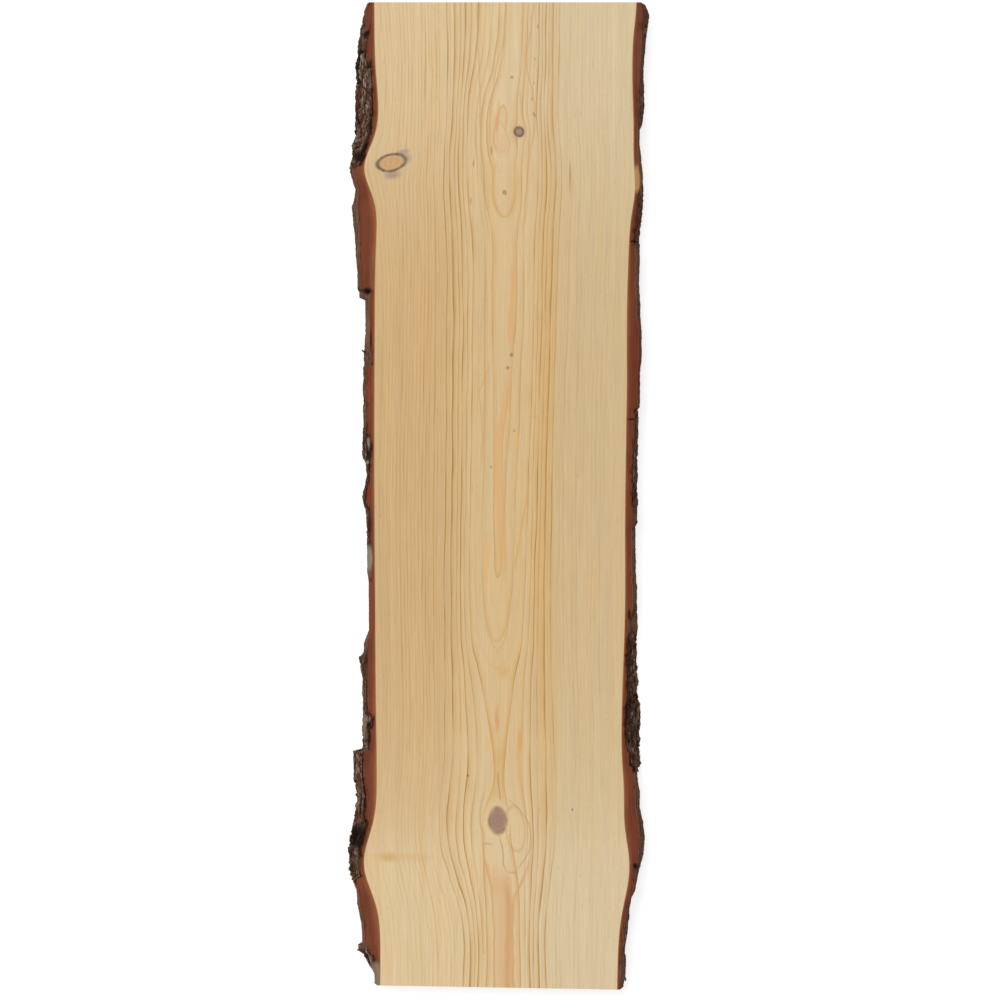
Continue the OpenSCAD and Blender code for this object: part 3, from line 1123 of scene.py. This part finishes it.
    def _skin(self, shape: bmesh.types.BMesh, trees: Trees) -> None:
        """Model the strip as one closed skin.

        Args:
            shape: Mesh to fill, with its layers made.
            trees: Search trees of the board and of the bark.
        """
        sections = [self._profile(i / self.columns, trees) for i in range(self.columns + 1)]
        rows = len(sections[0]) - 1
        bmesh.ops.create_grid(shape, x_segments=self.columns, y_segments=rows, size=0.5)
        layers = [shape.verts.layers.float[n] for n in LAYERS]
        flank = range(self.band_rows, self.band_rows + self.flank_rows)
        weathered = shape.faces.layers.float["weathered"]
        for face in shape.faces:
            row = int((face.calc_center_median().y + 0.5) * rows)
            face[weathered] = 1.0 if row in flank else 0.0
            face.smooth = row in flank
        for vert in shape.verts:
            column = round((vert.co.x + 0.5) * self.columns)
            row = round((vert.co.y + 0.5) * rows)
            x, y, z, *values = sections[column][row]
            vert.co = Vector((x * self.side.value, y, z)) * MM
            for layer, value in zip(layers, values):
                vert[layer] = value
        bmesh.ops.remove_doubles(shape, verts=shape.verts, dist=1e-6)
        bmesh.ops.holes_fill(shape, edges=[e for e in shape.edges if e.is_boundary], sides=0)

    def _outside(self, trees: Trees, y: float, z: float) -> float:
        """Measure how far the modelled skin reaches out from the plank's middle."""
        least = self._reach(trees[0], y, z) + self.least_bark
        return max(self._reach(trees[1], y, z) + self._relief(y, z)[0], least)

    def _lie(self, trees: Trees, y: float, z: float) -> Matrix:
        """Find how a scale lies on the skin.

        Args:
            trees: Search trees of the board and of the bark.
            y: Place along the plank.
            z: Height.

        Returns:
            Matrix with X along the plank and Z outward.
        """
        side = self.side.value
        dy, dz = self.slope_step
        run = (self._outside(trees, y + dy, z) - self._outside(trees, y - dy, z)) / (2 * dy)
        rise = (self._outside(trees, y, z + dz) - self._outside(trees, y, z - dz)) / (2 * dz)
        ahead = Vector((run, side, 0.0)).normalized()
        out = ahead.cross(Vector((side * rise, 0.0, 1.0))).normalized()
        at = Vector((side * (self._outside(trees, y, z) - SCALE_SINK), y, z)) * MM
        turn = Matrix((ahead, out.cross(ahead), out)).transposed()
        return Matrix.Translation(at) @ turn.to_4x4()

    def _scale(
        self, loose: bmesh.types.BMesh, dice: random.Random, lie: Matrix, size: Vector, lift: float, pale: float
    ) -> None:
        """Add one loose scale.

        Args:
            loose: Mesh to add to, with its layers made.
            dice: Random numbers.
            lie: Place on the skin, with Z outward.
            size: Length, height and thickness in metres.
            lift: Angle by which an end stands off, in radians.
            pale: Lightest tone that it may have, 0 to 1.
        """
        foot = bmesh.ops.create_circle(loose, cap_ends=True, segments=8, radius=0.5)["verts"]
        for vert in foot:
            vert.co *= 1 + dice.uniform(-0.25, 0.25)
        grown = bmesh.ops.extrude_face_region(loose, geom=list(foot[0].link_faces), use_keep_orig=True)["geom"]
        crown = [v for v in grown if isinstance(v, bmesh.types.BMVert)]
        bmesh.ops.scale(loose, vec=(0.8, 0.75, 1.0), verts=crown)
        bmesh.ops.translate(loose, vec=(0.0, 0.0, 1.0), verts=crown)
        turn = Matrix.Rotation(lift, 4, "Y") @ Matrix.Rotation(dice.uniform(-0.3, 0.3), 4, "Z")
        bmesh.ops.transform(loose, matrix=lie @ turn @ Matrix.Diagonal((*size, 1.0)), verts=foot + crown)
        tone, crevice_shade_layer, rough = (loose.verts.layers.float[n] for n in ("tone", "crevice_shade", "shag"))
        weathered = loose.faces.layers.float["weathered"]
        shade = dice.uniform(0.05, pale)
        for vert in foot + crown:
            vert[tone] = shade
            vert[rough] = 1.0
            # Painted shade at the scale's foot, where it meets the skin; none on its crown.
            vert[crevice_shade_layer] = 0.0 if vert in crown else 0.7
            for face in vert.link_faces:
                face[weathered] = 1.0

    def _scales(self, trees: Trees) -> bpy.types.Mesh:
        """Model all loose scales and splinters.

        Args:
            trees: Search trees of the board and of the bark.

        Returns:
            A mesh with all of them.
        """
        loose = self._empty()
        dice = random.Random(self.name)
        for _ in range(self.scale_count):
            y = dice.uniform(FOOT_Y + self.scale_margin, HEAD_Y - self.scale_margin)
            z = dice.uniform(4.0, THICKNESS - 6.0)
            size = Vector((dice.uniform(4, 12), dice.uniform(1.4, 3.2), dice.uniform(0.6, 1.2))) * MM
            lift = dice.uniform(-0.08, 0.08)
            if dice.random() < self._roughness(y) - self.bare_below:
                self._scale(loose, dice, self._lie(trees, y, z), size, lift, self.scale_pale)
        for from_head, length, lift in self.splinters:
            size = Vector((length, length * self.splinter_height, self.splinter_thickness)) * MM
            lie = self._lie(trees, HEAD_Y - from_head, self.splinter_z)
            self._scale(loose, dice, lie, size, lift, self.splinter_pale)
        mesh = bpy.data.meshes.new(self.name + "_scales")
        loose.to_mesh(mesh)
        loose.free()
        return mesh

    def _empty(self) -> bmesh.types.BMesh:
        """Make an empty mesh with the layers that the finish reads.

        Returns:
            The mesh.
        """
        shape = bmesh.new()
        for layer in LAYERS:
            shape.verts.layers.float.new(layer)
        shape.faces.layers.float.new("weathered")
        return shape

    def build(self) -> Object:
        """Model the strip.

        Returns:
            The new object.
        """
        noise.seed_set(NOISE_SEED)
        trees = (self._tree(self.board), self._tree(self.node))
        shape = self._empty()
        self._skin(shape, trees)
        scales = self._scales(trees)
        shape.from_mesh(scales)
        bpy.data.meshes.remove(scales)
        bmesh.ops.recalc_face_normals(shape, faces=shape.faces)
        mesh = bpy.data.meshes.new(self.name)
        shape.to_mesh(mesh)
        shape.free()
        piece = bpy.data.objects.new(self.name, mesh)
        bpy.context.scene.collection.objects.link(piece)
        piece.data.materials.append(self.finish.material())
        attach(piece, "root")
        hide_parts(self.node)
        return piece


@dataclass
class Studio:
    """White floor, soft light and the camera that looks straight down."""

    camera_at: tuple[float, float, float] = (0.00189, -0.00487, 4.5948)
    lens: float = 135.0
    sensor: float = 36.0
    sun: float = 1.75
    sun_angle: float = 40.0
    sun_turn: tuple[float, float, float] = (-0.4, -0.5, 0.0)
    sky: float = 0.55
    floor_colour: str = "#ADADAD"
    floor_glow: float = 0.72
    floor_size: float = 12.0
    floor_z: float = -0.0005

    def _link(self, name: str, data: bpy.types.ID) -> Object:
        """Put a new object in the scene.

        Args:
            name: Name of the object.
            data: Mesh, light or camera that it shows.

        Returns:
            The object.
        """
        item = bpy.data.objects.new(name, data)
        bpy.context.scene.collection.objects.link(item)
        return item

    def _seen(self, graph: Graph) -> tuple[Node, Node]:
        """Tell the rays that come from the camera, straight or by a reflection.

        Args:
            graph: Graph to add to.

        Returns:
            Node with the kinds of ray and node that is 1 for such a ray.
        """
        path = graph.add("LightPath")
        return path, graph.math("MAXIMUM", path.outputs["Is Camera Ray"], path.outputs["Is Glossy Ray"])

    def _floor(self) -> None:
        """Make the floor, which glows to the camera but lights nothing."""
        shape = bmesh.new()
        bmesh.ops.create_grid(shape, x_segments=1, y_segments=1, size=self.floor_size)
        mesh = bpy.data.meshes.new("floor")
        shape.to_mesh(mesh)
        shape.free()
        floor = self._link("floor", mesh)
        floor.location.z = self.floor_z
        material, graph = new_material("White_floor")
        path, eye = self._seen(graph)
        eye = graph.math("MAXIMUM", eye, path.outputs["Is Transmission Ray"])
        glow = graph.add("Emission", "#FFFFFF", graph.math("MULTIPLY", eye, self.floor_glow))
        graph.add("OutputMaterial", graph.add("AddShader", graph.add("BsdfDiffuse", self.floor_colour), glow))
        mesh.materials.append(material)

    def _lights(self) -> None:
        """Make the white sky and a broad, soft sun."""
        world = bpy.data.worlds.new("Studio")
        world.use_nodes = True
        graph = Graph(world.node_tree)
        strength = graph.ramp(self._seen(graph)[1], 0.0, 1.0, self.sky, 1.0)
        graph.add("OutputWorld", graph.add("Background", "#FFFFFF", strength))
        bpy.context.scene.world = world
        lamp = bpy.data.lights.new("Key", "SUN")
        lamp.energy = self.sun
        lamp.angle = math.radians(self.sun_angle)
        self._link("Key", lamp).rotation_euler = self.sun_turn

    def build(self) -> None:
        """Make the floor, the lights and the camera."""
        self._floor()
        self._lights()
        data = bpy.data.cameras.new("Camera")
        data.lens = self.lens
        data.sensor_width = self.sensor
        camera = self._link("Camera", data)
        camera.location = self.camera_at
        bpy.context.scene.camera = camera
        bpy.context.scene.view_settings.view_transform = "Standard"


def main() -> None:
    """Build the plank."""
    logging.basicConfig(level=logging.INFO, format="%(name)s: %(message)s")
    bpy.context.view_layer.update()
    board = SawnBoard("sawn_board", PlanedSoftwood())
    LOG.info("%s dressed", board.dress().name)
    strips = (
        BarkStrip(
            name="left_bark_strip",
            node="left_bark",
            board="sawn_board",
            side=Side.LEFT,
            finish=PineBark("Pine_bark_left", "#76412C", "#925A3B", LEFT_MARKS),
            shag=(
                *((0, 1.0), (175, 1.3), (197, 1.4), (205, 0.45), (345, 0.5), (360, 0.35), (430, 0.6)),
                *((509, 0.7), (535, 1.1), (600, 0.9), (655, 0.9), (672, 0.25), (775, 0.2), (795, 0.8)),
                *((860, 0.9), (915, 1.1), (985, 1.2), (992, 1.6), (1068, 1.6), (1078, 0.4), (1150, 0.5)),
                *((1160, 1.2), (1200, 0.7)),
            ),
            crevices=((37, 2.0, 3.0), (75, 2.0, 3.0), (190, 3.5, 6.0), (352, 2.0, 2.5), (565, 1.5, 4.0)),
            splinters=(
                *((426, 15.0, 0.9), (800, 9.0, 0.6), (998, 17.0, 0.7), (1008, 13.0, -0.6), (1018, 19.0, 0.8)),
                *((1030, 15.0, -0.7), (1040, 20.0, 0.7), (1052, 16.0, -0.6), (1061, 13.0, 0.8)),
                (1157, 13.0, 0.7),
            ),
        ),
        BarkStrip(
            name="right_bark_strip",
            node="right_bark",
            board="sawn_board",
            side=Side.RIGHT,
            finish=PineBark("Pine_bark_right", "#6F3A28", "#875135", RIGHT_MARKS),
            shag=(
                *((0, 0.7), (140, 0.7), (155, 0.4), (222, 0.35), (230, 1.0), (290, 1.0), (300, 0.35)),
                *((485, 0.4), (500, 0.8), (606, 0.9), (650, 0.45), (760, 0.45), (780, 1.3), (930, 1.3)),
                *((942, 0.45), (1045, 0.5), (1060, 0.6), (1200, 0.6)),
            ),
            crevices=((291, 2.0, 2.0), (497, 2.5, 3.0), (935, 2.5, 3.0), (1053, 3.0, 3.0)),
            splinters=((935, 9.0, 0.4), (1190, 10.0, 0.5)),
        ),
    )
    for strip in strips:
        piece = strip.build()
        LOG.info("%s built with %d faces", piece.name, len(piece.data.polygons))
    Studio().build()


if __name__ == "__main__":
    main()
